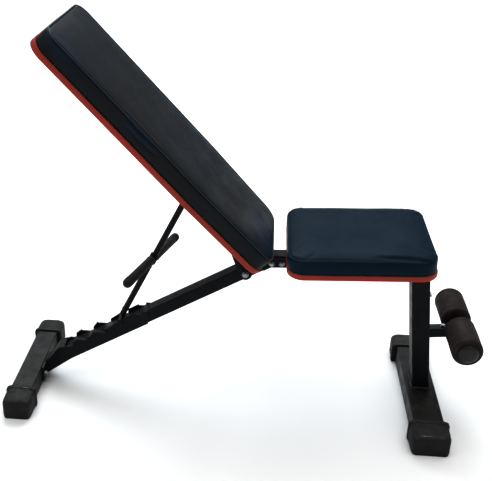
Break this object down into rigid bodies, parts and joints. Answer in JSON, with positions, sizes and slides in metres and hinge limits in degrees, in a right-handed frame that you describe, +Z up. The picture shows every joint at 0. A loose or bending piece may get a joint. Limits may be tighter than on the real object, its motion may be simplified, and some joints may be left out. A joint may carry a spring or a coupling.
{
  "type": "adjustable weight bench",
  "caption": "Adjustable weight bench: padded seat and reclining backrest on a square-tube frame, with a notched rack, a swinging strut, rubber-capped feet and foam leg rollers.",
  "frame": {"origin": "on the floor, at the middle of the bench's outline", "axes": "+X towards the leg rollers, +Y across the bench away from the viewer, +Z up"},
  "size_m": [1.149, 0.42, 0.9666],
  "materials": {
    "frame_paint": "satin black powder coat",
    "cap_rubber": "matt moulded rubber, slightly dusty",
    "black_plastic": "fine-textured moulded plastic",
    "zinc_steel": "zinc-plated",
    "bar_steel": "plated bar",
    "board_wood": "bare plywood",
    "band_red": "red vinyl band",
    "pad_vinyl": "dark blue-black vinyl with a fine grain",
    "roller_foam": "closed-cell foam, brown-black",
    "grip_rubber": "matt rubber grip"
  },
  "bodies": {
    "frame": {"rear_foot_tube": "frame_paint", "rear_cap_near": "cap_rubber", "rear_cap_far": "cap_rubber", "beam_end_plate": "frame_paint", "foot_bolts": "zinc_steel", "main_beam": "frame_paint", "lower_beam": "frame_paint", "rack_plate_near": "frame_paint", "rack_plate_far": "frame_paint", "rack_end_plate": "frame_paint", "seat_rail": "frame_paint", "rail_plug": "black_plastic", "joint_plate_near": "frame_paint", "joint_plate_far": "frame_paint", "joint_bolts": "zinc_steel", "front_post": "frame_paint", "post_bolt": "zinc_steel", "front_foot_tube": "frame_paint", "front_cap_near": "cap_rubber", "front_cap_far": "cap_rubber", "seat_strap_rear": "frame_paint", "seat_strap_front": "frame_paint", "seat_board": "board_wood", "seat_band": "band_red", "seat_pad": "pad_vinyl", "seat_screws": "zinc_steel", "roller_arm": "frame_paint", "roller_boss": "frame_paint", "bar_screw": "zinc_steel", "roller_bar": "bar_steel", "bar_cap_near": "black_plastic", "bar_cap_far": "black_plastic", "hinge_bolt": "zinc_steel"},
    "pivot": {"hinge_bush": "zinc_steel"},
    "backrest": {"hinge_ear_near": "frame_paint", "hinge_ear_far": "frame_paint", "back_rail_near": "frame_paint", "back_rail_far": "frame_paint", "back_rail_plugs": "black_plastic", "back_strap_lower": "frame_paint", "back_strap_middle": "frame_paint", "back_strap_upper": "frame_paint", "back_board": "board_wood", "back_band": "band_red", "back_pad": "pad_vinyl", "back_screws": "zinc_steel", "strut_clevis": "frame_paint", "strut_pin": "zinc_steel"},
    "strut": {"strut_eye": "frame_paint", "strut_rod": "frame_paint", "handle_hub": "frame_paint", "cross_bar": "frame_paint", "grip_near": "grip_rubber", "grip_far": "grip_rubber", "foot_pin": "frame_paint"},
    "roller_near": {"roller_core_near": "black_plastic", "roller_foam_near": "roller_foam"},
    "roller_far": {"roller_core_far": "black_plastic", "roller_foam_far": "roller_foam"}
  },
  "joints": [
    {"name": "backrest_recline", "type": "hinge", "parent": "frame", "child": "pivot", "pos_m": [0.01, 0, 0.3585], "axis": [0, 1, 0], "range_deg": [-47.1, 0]},
    {"name": "backrest_raise", "type": "hinge", "parent": "pivot", "child": "backrest", "pos_m": [0.01, 0, 0.3585], "axis": [0, 1, 0], "range_deg": [0, 11.5]},
    {"name": "strut_swing", "type": "hinge", "parent": "backrest", "child": "strut", "pos_m": [-0.1304, 0, 0.55293], "axis": [0, 1, 0], "range_deg": [0, 69]},
    {"name": "roller_near_spin", "type": "hinge", "parent": "frame", "child": "roller_near", "pos_m": [0.5375, -0.06, 0.2318], "axis": [0, 1, 0], "continuous": true},
    {"name": "roller_far_spin", "type": "hinge", "parent": "frame", "child": "roller_far", "pos_m": [0.5375, 0.06, 0.2318], "axis": [0, 1, 0], "continuous": true}
  ],
  "couplings": [
    {"joint": "strut_swing", "follows": "backrest_recline", "ratio": -1.45}
  ]
}
